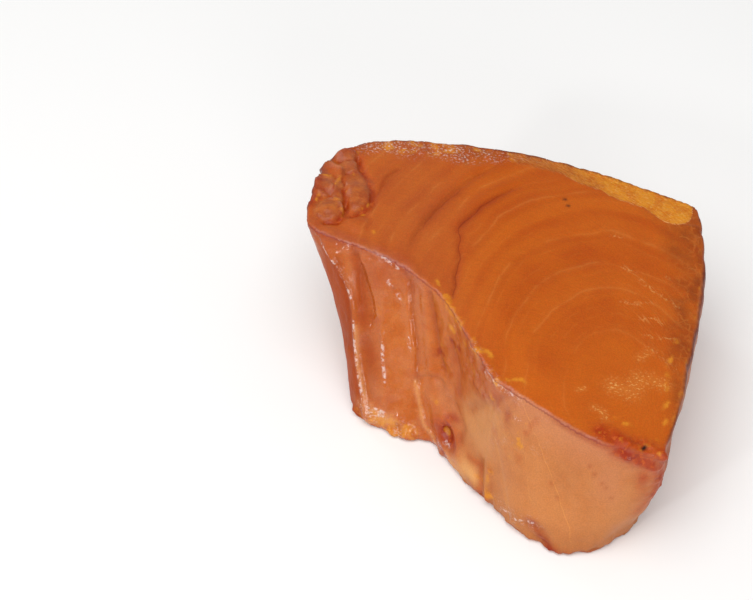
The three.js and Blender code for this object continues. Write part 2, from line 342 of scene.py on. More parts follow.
# Single marks of the front: deep glowing flesh in the left folds, painted wet highlights on the foot, then
# pale, red and raw places along the foot, round the pit and beside the lobe, painted light on the knife cut,
# and last a few specks of fat
FRONT_MARKS = (
    # stain or painted light, line, width, strength
    ("deep", ((-62, 66), (-60, 55), (-59, 42)), 2.6, 0.8),
    ("deep", ((-56, 31), (-55, 25)), 4.0, 0.6),
    ("deep", ((-56, 62), (-44, 64)), 5.0, 0.4),
    # Painted wet highlights on the foot: pale glints, pink sheen and light
    ("painted_wet_glints", ((-59, 9), (-54, 6)), 2.0, 0.9),
    ("pink_and_sheen", ((-60, 10), (-53, 7), (-48, 7)), 3.0, 1.0),
    ("sinew_and_painted_light", ((-60, 9), (-54, 6), (-49, 7)), 2.5, 0.25),
    ("gold", ((-25.8, 10.6), (-25.0, 10.2)), 0.9, 1.1),
    ("red", ((-27, 4), (-25, 2)), 1.6, 0.9),
    ("raw_red_and_crease_shade", ((-25, 17), (-22, 19)), 1.5, 0.9),
    ("sinew_and_painted_light", ((-27, 25), (-24, 17)), 4.0, 0.16),
    ("pink_and_sheen", ((-27, 25), (-24, 17)), 4.5, 0.5),
    ("sinew_and_painted_light", ((-24.5, 7), (-23, 2)), 1.5, 1.0),
    ("red", ((-16, 4.5), (-13, 1)), 1.5, 0.5),
    ("raw_red_and_crease_shade", ((-17, 12), (-13, 13), (-12.5, 8), (-13, 3)), 1.3, 0.55),
    ("red", ((7, 9), (10, 4), (14, 1), (24, 0)), 1.6, 0.7),
    # Painted light on the knife cut beside the crease, where the form shades it
    ("sinew_and_painted_light", ((-9, 44), (-14, 24)), 5.0, 0.32),
    ("gold", ((-28, 43),), 1.3, 0.7),
    ("gold", ((-16, 63),), 1.3, 0.7),
    ("gold", ((-24, 56),), 1.3, 0.7),
    ("gold", ((-30, 20),), 1.3, 0.7),
)
for name, line, width, strength in FRONT_MARKS:
    add_stain_or_light(name, strength * on_front(line, width))

# The flank left of the first ridge is thin, so it glows deeper
RIDGE_BY_HEIGHT = ((6, -58), (29, -62), (46, -63), (57, -66), (61, -69), (65, -72), (71, -76), (75, -81))
past_ridge = np.interp(z, *zip(*RIDGE_BY_HEIGHT)) - x
add_stain_or_light("deep", front * rise(-0.5, 1.2, past_ridge) * rise(0, 9, front_reach + 4 * waves(12, 6)))

# The moist part of the front: the left folds and the foot, and more faintly the rest of the folded side
add_stain_or_light("wet", folded * (rise(-26, -38, x) + 0.9 * rise(14, 6, z)))
add_stain_or_light("wet", 0.35 * folded)
stains_and_light["wet"] *= 1 - 0.9 * stains_and_light["deep"]

# Painted highlights: wet light runs in thin broken lines down the crests
SHINES = (
    ((-79, 71), (-75, 67), (-71, 63), (-68, 59), (-65.5, 55), (-64, 51)),
    ((-63, 42), (-62.5, 33), (-61, 22), (-59, 12)),
    ((-51, 37), (-51, 30), (-50, 22)),
    ((-54, 9.5), (-50, 9.0)),
    ((-52.5, 7.3), (-49.5, 7.0)),
    ((-41, 41), (-40, 36)),
    ((-53, 69.0), (-49, 67.8), (-45, 66.3)),
    ((-26.0, 7.4), (-24.8, 7.6)),
    ((-4, 6.3), (-2.5, 6.8)),
    ((0, 7.6), (1.8, 8.4)),
    ((4.5, 9.8), (6.5, 10.6)),
    ((-11, 60.6), (-9, 60.2)),
    ((-7.5, 59.9), (-5.5, 59.4)),
    ((-3.5, 58.9), (-2.5, 58.6)),
    ((-49, 60.5), (-47.6, 59.2)),
    ((-45.5, 56.5), (-44.2, 55.2)),
)
WIDEST_MARK = 9.0  # millimetres, past which a thin line doesn't show
shine = np.full(len(points), WIDEST_MARK)
for line in SHINES:
    shine = np.minimum(shine, line_distance(x, z, line))
shine += WIDEST_MARK * (1 - front)

# Wrinkles of the moist skin run down the folds
DOWN_THE_FOLDS = (1, 1, 0.22)
relief += folded * (0.30 * mottles(4.5, 21, DOWN_THE_FOLDS) + 0.16 * mottles(2.2, 25, DOWN_THE_FOLDS))
relief += pale_cut * (0.12 * mottles(7, 22) + 0.06 * mottles(2.5, 23))
add_stain_or_light("dried", pale_cut * (0.32 * rise(18, 0, z) + 0.10 * mottles(9, 24)))

# Blisters of fat under the skin
BLISTERS = (
    # place, width, height
    ((-48, 60), 1.6, 0.6),
    ((-45, 56), 1.2, 0.5),
    ((-50, 57), 1.0, 0.3),
    ((-35, 10), 3.0, 0.9),
    ((-44, 8), 3.2, 0.7),
)
for place, width, height in BLISTERS:
    relief += height * on_front((place,), width)

# The wet pit low in the crease, a little taller than wide, with a raised raw rim
PIT = (-25.3, 10.8)
PIT_SQUEEZE = 0.85
PIT_RIM_RADIUS = 4.6
pit_distance = np.hypot(x - PIT[0], (z - PIT[1]) * PIT_SQUEEZE)
pit_rim = fade(pit_distance - PIT_RIM_RADIUS, 1.2)
relief += front * (0.9 * pit_rim - 1.2 * fade(pit_distance, 2.2))
for name, width, strength in (("raw_red_and_crease_shade", 5.0, 1.2), ("red", 2.6, 1.0), ("dried", 2.0, 0.9)):
    add_stain_or_light(name, front * strength * fade(pit_distance, width))

# The torn lower edge, ragged with fat and fibre at the left and dried to a thin crust at the right
torn = front * rise(13, 2, z)
fringe = torn * rise(-34, -42, x) * rise(-64, -58, x)
relief += fringe * 1.5 * mottles(4.5, 31) + torn * 0.8 * mottles(5, 32)
relief += front * rise(7, 1, z) * (1.2 * mottles(6, 37) + 0.7 * mottles(2.6, 29))
add_stain_or_light("gold", fringe * (0.75 + 0.6 * mottles(5, 33)))
# Painted glints on the fringe
add_stain_or_light("painted_wet_glints", fringe * (0.15 + 0.8 * mottles(4, 34)))
wet_strip = on_front(((-5, 6), (1, 8), (7, 11)), 2.8)
relief += wet_strip * 0.9 * mottles(3, 35)
# Painted glints on the wet strip
add_stain_or_light("painted_wet_glints", wet_strip * (0.3 + 0.5 * mottles(3, 36)))
fibre_strand = on_front(((-9, 18), (-9.5, 11), (-10, 3)), 1.2)
add_stain_or_light("gold", fibre_strand * (0.35 + 0.5 * mottles(2.5, 49)))
add_stain_or_light("red", fibre_strand * (0.25 + 0.6 * mottles(3, 50)))
crust = on_front(((6, 10), (9, 6), (12, 2), (15, 0)), 2.6)
relief += crust * 1.4 * mottles(3.2, 38)
add_stain_or_light("red", crust * (0.8 + 0.8 * mottles(3.5, 39)))
add_stain_or_light("red", front * 0.5 * rise(3.0, 0.8, z))

# A soft pale lobe folds over the edge between the pit and the knife cut, with an orange crease beside it
lobe = on_front(((-23, 4), (-19, 8), (-16, 8)), 3.8)
relief += lobe
add_stain_or_light("sinew_and_painted_light", 0.86 * lobe)
lobe_crease = on_front(((-14, 9), (-11, 9.5), (-9, 7)), 1.1)
add_stain_or_light("gold", 0.9 * lobe_crease * (0.8 + 0.6 * mottles(3, 48)))
relief -= 0.7 * on_front(((-13, 14), (-12, 8), (-12, 3)), 1.4)

# The reddened stretch between the crease and the rim, with painted glints on it and on beads of fat along
# the rim
raw_stretch = front * rise(-33, -26, x) * rise(1, -5, x) * rise(36, 50, z)
add_stain_or_light("red", raw_stretch * (0.15 + 0.55 * mottles(5, 41, (1, 1, 0.6))))
add_stain_or_light("gold", raw_stretch * (0.9 * mottles(5, 44, (1, 1, 0.6)) - 0.1))
relief += raw_stretch * 0.5 * mottles(3.5, 42)
speckled = folded * rise(-34, -27, x)
add_stain_or_light("red", speckled * (0.9 * rise(0.25, 0.7, mottles(5, 45))))
add_stain_or_light("painted_wet_glints", 0.6 * speckled * rise(0.35, 0.8, mottles(4, 46)))
relief += speckled * 0.35 * mottles(3.2, 47)
beads = stroke(x, y, ((-18, -31), (-14, -40), (-8, -49), (-2, -54)), 2.0)
beads *= rise(5, 0, np.abs(above_cut + 1))
relief += beads * (0.5 + waves(2.4, 43))
add_stain_or_light("painted_wet_glints", 1.2 * beads * (0.6 + 0.7 * waves(2.4, 43)))

# The dried front right corner, torn, raw red and a little charred. It ends in a small spike.
CORNER_RIM = ((36, 53), (44, 49), (53, 46))
CORNER_SIDE = ((52, 42), (52, 31), (51, 22))
corner = front * np.maximum(stroke(x, z, CORNER_RIM, 3.8), 0.8 * stroke(x, z, CORNER_SIDE, 3.8))
relief += corner * (1.6 * mottles(5, 51) + 0.6 * mottles(2.2, 55))
add_stain_or_light("raw_red_and_crease_shade", corner * (1.1 + 0.6 * mottles(4, 52)))
add_stain_or_light("red", corner * rise(0.0, 0.6, mottles(3.5, 59)))
below_corner = on_front(((46, 40), (50, 32), (50, 20)), 6.5)
add_stain_or_light("raw_red_and_crease_shade", below_corner * (0.35 + 0.6 * mottles(5, 116)))
# Painted glints on the torn corner
add_stain_or_light("painted_wet_glints", 0.8 * corner * rise(0.4, 0.9, mottles(3, 56)))
add_stain_or_light("pink_and_sheen", 0.5 * front * rise(22, 32, x) * rise(18, 36, z) * rise(42, 34, x))
SPIKE = (53.5, -74.5)
spike = stroke(x, y, (SPIKE,), 1.4) * rise(2.2, 0.4, np.abs(above_cut + 2.0))
relief += 2.2 * spike
add_stain_or_light("raw_red_and_crease_shade", 0.9 * spike)
CORNER_TOP = ((29, -67), (36, -71), (45, -72), (53, -75))
corner_top = rise(-5, -3, above_cut) * stroke(x, y, CORNER_TOP, 3.6)
relief += corner_top * 1.4 * mottles(3.5, 53)
add_stain_or_light("raw_red_and_crease_shade", corner_top * (1.0 + 0.7 * mottles(4, 54)))
# Painted glints on the top of the corner
add_stain_or_light("painted_wet_glints", 0.9 * corner_top * rise(0.3, 0.8, mottles(3.5, 57)))
add_stain_or_light("gold", 0.8 * corner_top * rise(0.2, 0.7, mottles(4, 58)))

# Flakes part along the rings of the cut: a groove, with the outer flake standing a little proud
FLAKE_STEPS = (
    # radius, first and last angle in degrees, depth
    (81.5, 43, 64, 0.5),
    (92.5, 31, 62, 0.45),
    (113.5, 33, 43, 0.35),
    (58, 15, 85, 0.12),
    (48, 15, 85, 0.10),
    (72, 35, 75, 0.10),
)
for radius, first, last, depth in FLAKE_STEPS:
    past = ring_radius - radius + 0.5 * waves(14, 61)
    reach = top * rise(first - 3, first + 3, ring_angle) * rise(last + 5, last - 5, ring_angle)
    relief += depth * reach * (0.9 * fade(past - 2.2, 2.0) - fade(past, 0.7))
    # Painted shade darkens the groove where the flakes part
    add_stain_or_light("crease_shade", reach * 0.9 * depth * rise(-3.5, -0.2, past) * rise(0.8, 0.0, past))
relief += top * 0.10 * rough_noise(np.column_stack([ring_radius, ring_angle * 0.3, z]), 4, 62)


def on_ring(radius, angle):
    """The place on the cut of a point of a ring."""
    turn = math.radians(angle)
    back = RING_STRETCH * radius * math.sin(turn)
    return (RING_CENTRE[0] - radius * math.cos(turn), RING_CENTRE[1] + back)


# Two of the partings are open cracks, thin and darkened with painted shade, and a fainter one lies left of
# them, drawn only in painted shade
INNER_CRACK = [on_ring(81.5, angle) for angle in range(64, 40, -3)]
INNER_CRACK += [(-20.6, 14.5), (-21.6, 7.9), (-23, 0.3), (-24.5, -6)]
OUTER_CRACK = [on_ring(92.5 - 0.04 * (angle - 31), angle) for angle in range(60, 29, -3)]
wobble_x = x + 0.8 * waves(5, 63)
wobble_y = y + 0.8 * waves(5, 64)
inner_crack = signed_distance(wobble_x, wobble_y, INNER_CRACK, top * rise(60, 48, y))
outer_crack = signed_distance(wobble_x, wobble_y, OUTER_CRACK, top * rise(68, 50, y) * rise(18, 34, y))
relief -= 0.6 * top * fade(inner_crack, 0.8) * rise(24, 10, y)
add_stain_or_light("red", 0.42 * top * fade(inner_crack, 1.8))
add_stain_or_light("crease_shade", 0.6 * top * fade(outer_crack, 2.0))
FAINT_PARTING = ((-56.5, 37), (-54.5, 43), (-49, 58), (-45, 62))
add_stain_or_light("crease_shade", 0.7 * top * stroke(wobble_x, wobble_y, FAINT_PARTING, 1.0))

# Lumps of gristle in the left corner of the top, each an oval, with a groove where two meet. Thin raised
# folds and deep creases run between them.
LUMPS = (
    # middle, width and depth, turn in radians
    ((-65.8, 66.4), (9.5, 6.0), 0.29),
    ((-64.7, 60.5), (9.5, 7.5), 0.34),
    ((-74.1, 48.6), (7.0, 11.0), 0.13),
    ((-68.8, 44.7), (6.0, 13.5), 0.08),
    ((-60.6, 46.7), (12.0, 22.5), -0.05),
    ((-72.3, 34.7), (12.0, 13.5), -0.60),
    ((-76.0, 56.0), (5.5, 7.0), 0.30),
)
THIN_FOLDS = (
    # line, width, height
    (((-75.1, 58.7), (-71.9, 60.9), (-69.0, 58.3), (-68.1, 53.7), (-70.0, 49.4), (-71.6, 46.3)), 1.3, 1.5),
    (((-72.3, 41.0), (-69.1, 39.7), (-67.4, 35.4), (-67.8, 31.4)), 1.0, 1.0),
    (((-66.1, 55.1), (-63.6, 57.8), (-60.4, 58.2)), 0.9, 0.8),
    (((-69.5, 65.3), (-66.2, 68.2), (-63.3, 68.6)), 1.0, 0.9),
    (((-77.3, 49.0), (-75.8, 52.7), (-72.6, 54.3), (-71.3, 51.5)), 0.9, 1.0),
    (((-77.9, 39.7), (-76.4, 44.5), (-74.4, 42.5)), 0.9, 0.8),
)
CREASES_BETWEEN = (
    # line, width, height
    (((-61.2, 66.4), (-59.1, 57.8), (-55.0, 47.2), (-55.8, 40.8), (-59.4, 35.2), (-63.4, 32.5)), 1.5, -1.1),
    (((-66.4, 46.9), (-65.5, 38.4), (-66.2, 33.3), (-69.3, 28.4), (-73.9, 27.8)), 1.2, -1.3),
    (((-57.8, 33.7), (-56.2, 30.0), (-57.8, 25.4)), 0.9, -0.3),
    (((-62.1, 71.7), (-61.2, 66.4), (-60.8, 60.5)), 0.8, -0.8),
)
LUMP_SQUARENESS = 2.4  # 2 would make true ovals
swells = []
for (middle_x, middle_y), (width, depth), turn in LUMPS:
    across = (x - middle_x) * math.cos(turn) + (y - middle_y) * math.sin(turn)
    back = (y - middle_y) * math.cos(turn) - (x - middle_x) * math.sin(turn)
    oval = np.abs(across / width) ** LUMP_SQUARENESS + np.abs(back / depth) ** LUMP_SQUARENESS
    swells.append(1 - 2 * oval ** (1 / LUMP_SQUARENESS))
swells = np.sort(np.array(swells) + 0.12 * mottles(5, 72), axis=0)
near_top = rise(-9, -2, above_cut)
lumps = near_top * rise(-0.12, 0.08, swells[-1])
lump_groove = near_top * fade(swells[-1] - swells[-2], 0.12) * rise(-0.45, -0.1, swells[-2])
lump_edge = fade(swells[-1] - 0.14, 0.10) * rise(0.0, 0.5, mottles(4, 74))
relief += 0.6 * near_top * rise(-0.05, 0.22, swells[-1]) - 0.8 * lump_groove
relief += lumps * 0.4 * waves(3.5, 71)
# Painted shade, dark and red, in the grooves where the lumps meet
add_stain_or_light("crease_shade", 0.3 * lump_groove)
add_stain_or_light("raw_red_and_crease_shade", 0.8 * lump_groove)
add_stain_or_light("gold", 0.6 * near_top * lump_edge)
add_stain_or_light("wet", 0.3 * lumps)
fold_tint = waves(5, 79)
for line, width, height in THIN_FOLDS:
    fold = near_top * stroke(x + 0.6 * waves(4, 78), y, line, width)
    relief += height * fold
    lumps = np.maximum(lumps, 0.7 * fold)
    add_stain_or_light("pink_and_sheen", 1.2 * fold * rise(-0.4, 0.1, fold_tint))
    add_stain_or_light("gold", 0.65 * fold * rise(0.2, -0.3, fold_tint) * (0.8 + mottles(3, 81)))
for line, width, height in CREASES_BETWEEN:
    crease = near_top * stroke(x + 0.8 * waves(5, 80), y, line, width)
    relief += height * crease
    # Painted shade, dark and red, in the deep creases between the lumps
    add_stain_or_light("crease_shade", -0.2 * height * crease)
    add_stain_or_light("raw_red_and_crease_shade", -0.8 * height * crease)
rim_ridge = near_top * stroke(x, y, ((-80, 38), (-78, 46), (-77, 56), (-73, 64), (-62, 72)), 2.4)
relief += rim_ridge * (0.6 + 1.2 * mottles(3.5, 76))
add_stain_or_light("red", rim_ridge * (0.5 + 0.9 * mottles(4, 77)))
LUMP_FAT = (
    # line, width, strength
    (((-70.5, 40.5), (-68, 37), (-67.8, 33)), 1.6, 0.5),
    (((-59, 34.5),), 1.0, 0.8),
    (((-54.5, 24.7),), 1.2, 0.8),
)
for line, width, strength in LUMP_FAT:
    add_stain_or_light("gold", strength * near_top * stroke(x, y, line, width))

# The golden bevel of fibrous fat along the back right edge, with a broken step at its inner side
BEVEL_LEFT = ((-10, 76), (10, 72), (23, 69), (31.5, 64), (39.5, 60.6), (45, 57), (52, 54.5))
BEVEL_RIGHT = ((57, 53), (60, 49.5), (63, 46.5), (67.5, 44.5), (84, 44.5))
into_bevel = y - np.interp(x, *zip(*BEVEL_LEFT, *BEVEL_RIGHT)) + 0.9 * mottles(5, 81)
bevel = top * rise(-0.4, 0.6, into_bevel) * rise(-6, 30, x)
bevel_end = 45 * rise(-4, -14, above_cut + 3 * mottles(8, 85)) + 9 * rise(6, 0, x)
bevel_end += 14 * stroke(x, y, ((79, 60), (81, 52), (81, 40)), 4.6)
relief -= bevel * (0.25 + 0.07 * np.clip(into_bevel, 0, 14))
relief += bevel * 0.25 * mottles(3, 82, (0.5, 1, 1))
bevel_gold = rise(14, 50, x + 8 * waves(9, 84))
add_stain_or_light("dried", 0.75 * bevel * (1 - bevel_gold))

# The dry fibrous band along the back left edge, and the darker mottled one along the right
BACK_BAND = ((-62, 7), (-40, 13), (-10, 10), (20, 4))  # place along X, width there
to_band = np.interp(x, *zip(*BACK_BAND)) + 3 * waves(10, 90)
back_band = top * rise(1.2, 0.5, rim_distance / to_band)
back_band *= rise(-66, -58, x) * rise(34, 10, x) * rise(30, 50, y)
relief += back_band * (0.7 * mottles(3.0, 91, (1, 0.6, 1)) + 0.35 * mottles(1.8, 99))
# Painted glints on the back band, stronger in two clusters
glint_clusters = np.maximum(stroke(x, y, ((-58, 72), (-40, 76)), 7), stroke(x, y, ((-26, 74), (-10, 73)), 9))
add_stain_or_light("painted_wet_glints", back_band * (0.2 + 0.9 * glint_clusters) * (0.75 + 0.5 * mottles(4, 93)))
add_stain_or_light("dried", back_band * (0.35 + 0.3 * mottles(6, 92)))
add_stain_or_light("gold", back_band * (0.25 + 0.9 * mottles(4, 89)))

RIGHT_BAND = ((-70, 3), (-40, 7), (-10, 15), (50, 16))  # place along Y, width there
band_reach = np.interp(y, *zip(*RIGHT_BAND)) + 3 * waves(9, 94)
right_band = top * rise(1.3, 0.3, rim_distance / band_reach) * rise(50, 62, x) * (1 - bevel)
relief += right_band * 0.5 * mottles(4, 95)
add_stain_or_light("dried", right_band * (0.42 + 0.32 * rise(5, 35, y) + 0.5 * mottles(6, 96)))
add_stain_or_light("dried", 0.5 * top * rise(70, 77, x) * rise(30, 44, y))
right_edge = right_band * rise(3.0, 0.5, rim_distance + 1.5 * waves(5, 98))
add_stain_or_light("gold", 0.5 * right_edge * rise(48, 30, y))

# Single marks of the cut top: a painted sheen inside the front rim, patches of painted sparkle, and black
# specks of char
TOP_MARKS = (
    # stain or painted light, line, width, strength
    ("painted_front_sheen", ((-12, -16), (-5, -30), (3, -43), (14, -54)), 8.0, 1.0),
    ("patches", ((36, -45), (42, -47), (46, -41)), 4.0, 0.9),
    ("patches", ((51, -40), (56, -42)), 3.0, 0.8),
    ("patches", ((22, -48), (24, -47)), 1.0, 1.0),
    ("patches", ((27, -56), (30, -57), (31, -61)), 1.6, 0.7),
    ("patches", ((47, -30), (52, -26)), 2.0, 0.5),
    ("char", ((24, 53),), 0.75, 1.0),
    ("char", ((25, 49.4),), 0.75, 1.0),
    ("char", ((44.6, -73.2), (45.8, -72.4)), 0.8, 1.3),
)
for name, line, width, strength in TOP_MARKS:
    add_stain_or_light(name, strength * on_top(line, width))

# A line of orange fat just inside the right edge and round the corner, and dabs of fat near the front rim
INNER_LINE = ((34, -61), (40, -63), (45, -65), (50, -70), (54, -66), (56.5, -50), (58, -38), (62, -18))
add_stain_or_light("gold", 0.50 * on_top(INNER_LINE, 1.5) * rise(-74, -66, y))
FAT_DABS = (
    # line, width, strength
    (((-26, -6), (-25, -12), (-22, -19)), 1.9, 1.1),
    (((-17, -27), (-15, -32), (-11, -34), (-10, -41)), 1.6, 0.75),
    (((-9, -46), (-3, -46), (5, -45)), 1.3, 0.6),
    (((-30, 2), (-28, -3)), 1.0, 0.7),
    (((26, -61), (31, -61)), 1.0, 0.5),
)
for line, width, strength in FAT_DABS:
    dab = stroke(x, y, line, width) * rise(-5, -2, above_cut)
    add_stain_or_light("gold", strength * dab * (0.8 + mottles(3, 97)))

# Flakes whose edges lift a little near the right edge
LIFTED_EDGES = (
    ((62, 13), (65, 11)),
    ((50, 1), (53, -5), (57, -9)),
    ((49, -22), (53, -27), (57, -32), (62, -38)),
)
for line in LIFTED_EDGES:
    relief += 0.25 * on_top(line, 0.9)

# Thin seams in the fold above the pit, in the knife cut and on the first ridge, then mottles and red dots
# on the knife cut
SEAMS = (
    # line, width, strength
    (ABOVE_PIT, 0.8, 0.55),
    (((-9, 38), (-6, 26), (-3, 10)), 0.6, 0.15),
    (((-62, 40), (-61, 25), (-58, 12)), 0.7, 0.5),
)
for line, width, strength in SEAMS:
    mark = on_front(line, width)
    add_stain_or_light("sinew_and_painted_light", strength * mark)
    relief -= 0.12 * pale_cut * mark
add_stain_or_light("red", 0.15 * pale_cut * stroke(x, z, BESIDE_CUT, 2.0))
beside_crease = pale_cut * rise(14, -2, x) * rise(24, 42, z)
add_stain_or_light("raw_red_and_crease_shade", 0.45 * beside_crease * rise(0.10, 0.6, mottles(4, 117, (1, 1, 0.6))))
add_stain_or_light("gold", 0.60 * beside_crease * rise(0.25, 0.7, mottles(3.2, 118)))
# Painted glints among the mottles
add_stain_or_light("painted_wet_glints", 0.45 * beside_crease * rise(0.25, 0.8, mottles(5, 119)))
RED_DOTS = ((25, 44), (27, 41), (30, 37), (31.5, 35), (34, 30), (12, 31), (14.5, 26))
for place in RED_DOTS:
    add_stain_or_light("red", 0.40 * pale_cut * stroke(x, z, (place,), 0.9))

# Pinker flesh with a painted sheen just under the front rim and over the lumps, and the dark line of the rim
# itself
front_side = rise(-4.5, 4.5, front_reach + 6 * rise(-4, 2, above_cut))
add_stain_or_light("pink_and_sheen", pale_cut * rise(20, 0, -above_cut) * 0.8)
under_rim = rise(22, 0, -above_cut) * rise(-30, -42, x) * rise(-74, -58, x)
add_stain_or_light("pink_and_sheen", folded * under_rim * (0.35 + 0.5 * mottles(9, 114)))
add_stain_or_light("deep", 0.5 * folded * rise(-62, -70, x) * rise(16, 4, -above_cut))
# Painted sheen of the moist film over the upper folds
film = rise(0.35, 0.75, mottles(10, 115, (1, 1, 0.6)))
add_stain_or_light("pink_and_sheen", 0.5 * folded * film * rise(-30, -42, x))
add_stain_or_light("pink_and_sheen", 0.6 * lumps * rise(42, 54, y) * (0.6 + 0.7 * waves(7, 111)))
lump_rim = near_top * rise(-64, -72, x) * rise(36, 44, y)
add_stain_or_light("red", 0.6 * lump_rim * rise(-0.1, 0.6, mottles(5, 110)))
# Painted sheen over the left of the top
add_stain_or_light("pink_and_sheen", 0.18 * top * rise(0, -40, x))
add_stain_or_light("dried", 0.10 * top * rise(-10, -40, x))
hem = rise(-7.5, -3.5, above_cut) * rise(8, 2.0, rim_distance) * front_side * rise(-28, -40, x)
# Painted sheen on the curled hem of the rim
add_stain_or_light("pink_and_sheen", 0.55 * hem * (0.7 + 0.5 * mottles(6, 112)))
add_stain_or_light("red", 0.30 * hem * rise(1.0, 3.0, rim_distance))
relief += hem * mottles(4.5, 113)
add_stain_or_light("rim", front_side * rise(-7, -2, above_cut) * rise(38, 24, x))
at_edge = front_side * rise(-3.5, -2, above_cut) * rise(2.4, 1.0, rim_distance)
add_stain_or_light("red", at_edge * (0.45 * rise(6, 16, x) + 0.35 * rise(-32, -46, x)))
add_stain_or_light("skin", rise(-3.6, -2.4, above_cut) * (1 - front_side) * (0.75 + 0.5 * waves(8, 107)))

# Painted highlights: glints lie right of the middle of the cut top, in short broken threads
GLINTS = (
    # line, width, strength
    (((45, 17), (49, 15)), 2.0, 1.0),
    (((51, 11), (55, 7), (60, 3), (65, -2)), 1.5, 1.0),
    (((42, -2), (48, -2), (54, -1)), 1.6, 0.9),
    (((49, -10), (54, -9), (57, -11)), 2.2, 1.0),
    (((50, -18), (56, -19), (62, -19)), 1.8, 0.9),
    (((51, -24), (55, -27), (58, -31), (61, -34)), 2.4, 1.0),
    (((42, 34), (46, 34)), 1.2, 0.8),
    (((62, 14), (63, 13)), 1.2, 1.0),
)
glint_thread = np.full(len(points), WIDEST_MARK)
for line, width, strength in GLINTS:
    add_stain_or_light("glints", strength * on_top(line, width))
    beside = signed_distance(wobble_x, wobble_y, line)
    glint_thread = np.where(np.abs(beside) < np.abs(glint_thread), beside, glint_thread)
add_stain_or_light("glints", top * 0.16 * rise(30, 50, x) * rise(25, 5, y))
stains_and_light["glints"] *= rise(14, 30, ring_radius)

# The sides that the front doesn't show: dried, with the flakes' edges running down them
flake_edges = np.abs(soft_noise(np.column_stack([ring_radius, 0 * x, z * 0.08]), 5.5, 101))
relief += hidden_side * (0.4 * rise(0, 0.35, flake_edges) + 0.5 * mottles(7, 102, (1, 1, 0.4)))
# Painted shade in the grooves between the flakes' edges
add_stain_or_light("crease_shade", 0.5 * hidden_side * rise(0.12, 0.0, flake_edges))
add_stain_or_light("dried", hidden_side * (0.20 + 0.5 * mottles(14, 103, (1, 1, 0.5)) + 0.4 * rise(8, 0, z)))
add_stain_or_light("gold", 0.35 * hidden_side * rise(0.2, 0.8, mottles(9, 104, (1, 1, 0.35))))
add_stain_or_light("raw_red_and_crease_shade", 0.6 * hidden_side * rise(0.0, 0.8, mottles(11, 105, (1, 1, 0.3))))
add_stain_or_light("pink_and_sheen", 0.7 * hidden_side * rise(0.0, 0.7, mottles(15, 106, (1, 1, 0.4))))

keep_flat = rise(0.2, 1.5, z)
points += normals * (relief * keep_flat)[:, None]
points[:, 2] = np.maximum(points[:, 2], 0)

# The right side draws in towards the front corner as it dries. The pairs are a place along Y, taken at the
# height of the cut, and how far the side moves in there.
DRAWN_IN = ((-76, 2.6), (-64, 2.2), (-55, 1.4), (-32, 1.1), (-20, 0))
drawn_in = np.interp(y + above_cut, *zip(*DRAWN_IN)) * rise(38, 54, x)
points[:, 0] -= drawn_in * np.maximum(rise(-16, -5, above_cut), rise(-68, -56, y))

# The torn foot of the front wanders. The pairs are a place along X, and how far the foot moves back there.
FOOT_WANDER = ((-60, -1.6), (-47, -1.3), (-38, 0), (-33, 0), (-26, -2.0), (-13, -2.4), (-7, 0), (-2, 0))
FOOT_WANDER += ((4, 2.4), (10, 2.2), (17, 0), (32, 0), (38, 2.2), (46, 2.6), (52, 1.0))
points[:, 1] += np.interp(x, *zip(*FOOT_WANDER)) * rise(16, 3, z) * rise(-4, 4, front_reach)
fish.data.vertices.foreach_set("co", (points / MILLIMETRES).ravel())
fish.data.update()

regions = {"top": top, "pale_cut": pale_cut, "folded": folded, "hidden_side": hidden_side, "lumps": lumps}
distances = {
    "rim_distance": rim_distance,
    "bevel_distance": into_bevel - bevel_end,
    "bevel_gold": bevel_gold,
    "inner_crack": inner_crack,
    "outer_crack": outer_crack,
    "shine": shine,
    "glint_thread": glint_thread,
}
for name, values in {**regions, **stains_and_light, **distances}.items():
    fish.data.attributes.new(name, "FLOAT", "POINT").data.foreach_set("value", values)


# Smoked flesh: a translucent orange-brown, paler and duller in the knife cuts and glossy on the moist folds.
# Rings of muscle show faintly in the cut top. Fat is golden, and dried edges are brown and purple.
def add_node(tree, kind, inputs=(), **settings):
    """A shader node with its settings made and its inputs joined or set."""
    made = tree.nodes.new(kind)
    for name, value in settings.items():
        setattr(made, name, value)
    for key, value in dict(inputs).items():
        if isinstance(value, bpy.types.NodeSocket):
            tree.links.new(value, made.inputs[key])
        else:
            made.inputs[key].default_value = value
    return made


def colour(code):
    """A screen colour, such as C45D1C, as the shader wants it."""
    parts = [int(code[i : i + 2], 16) / 255 for i in (0, 2, 4)]
    return (*(p / 12.92 if p <= 0.04045 else ((p + 0.055) / 1.055) ** 2.4 for p in parts), 1)


def mixed(tree, share, below, above, way="MIX"):
    """One colour laid over another."""
    inputs = {0: share, 6: below, 7: above}
    return add_node(tree, "ShaderNodeMix", inputs, data_type="RGBA", blend_type=way).outputs[2]


def maths(tree, operation, first, second=0.5):
    return add_node(tree, "ShaderNodeMath", {0: first, 1: second}, operation=operation).outputs[0]


def times(tree, *factors):
    return functools.reduce(lambda first, second: maths(tree, "MULTIPLY", first, second), factors)


def plus(tree, *terms):
    return functools.reduce(lambda first, second: maths(tree, "ADD", first, second), terms)


def minus(tree, value, taken):
    return maths(tree, "SUBTRACT", value, taken)


def tinted(tree, base, code, *shares):
    """A colour with another laid over it, as strongly as the shares multiplied."""
    return mixed(tree, times(tree, *shares), base, colour(code))


def steep(tree, value, low, high):
    """0 where the value is below low and 1 above high. Low may be the larger one."""
    inputs = {"Value": value, "From Min": low, "From Max": high}
    return add_node(tree, "ShaderNodeMapRange", inputs, interpolation_type="SMOOTHSTEP").outputs["Result"]


def line_at(tree, distance, place, width, core):
    """1 within the core of a place along a distance, and 0 past the width."""
    return steep(tree, maths(tree, "ABSOLUTE", minus(tree, distance, place)), width, core)


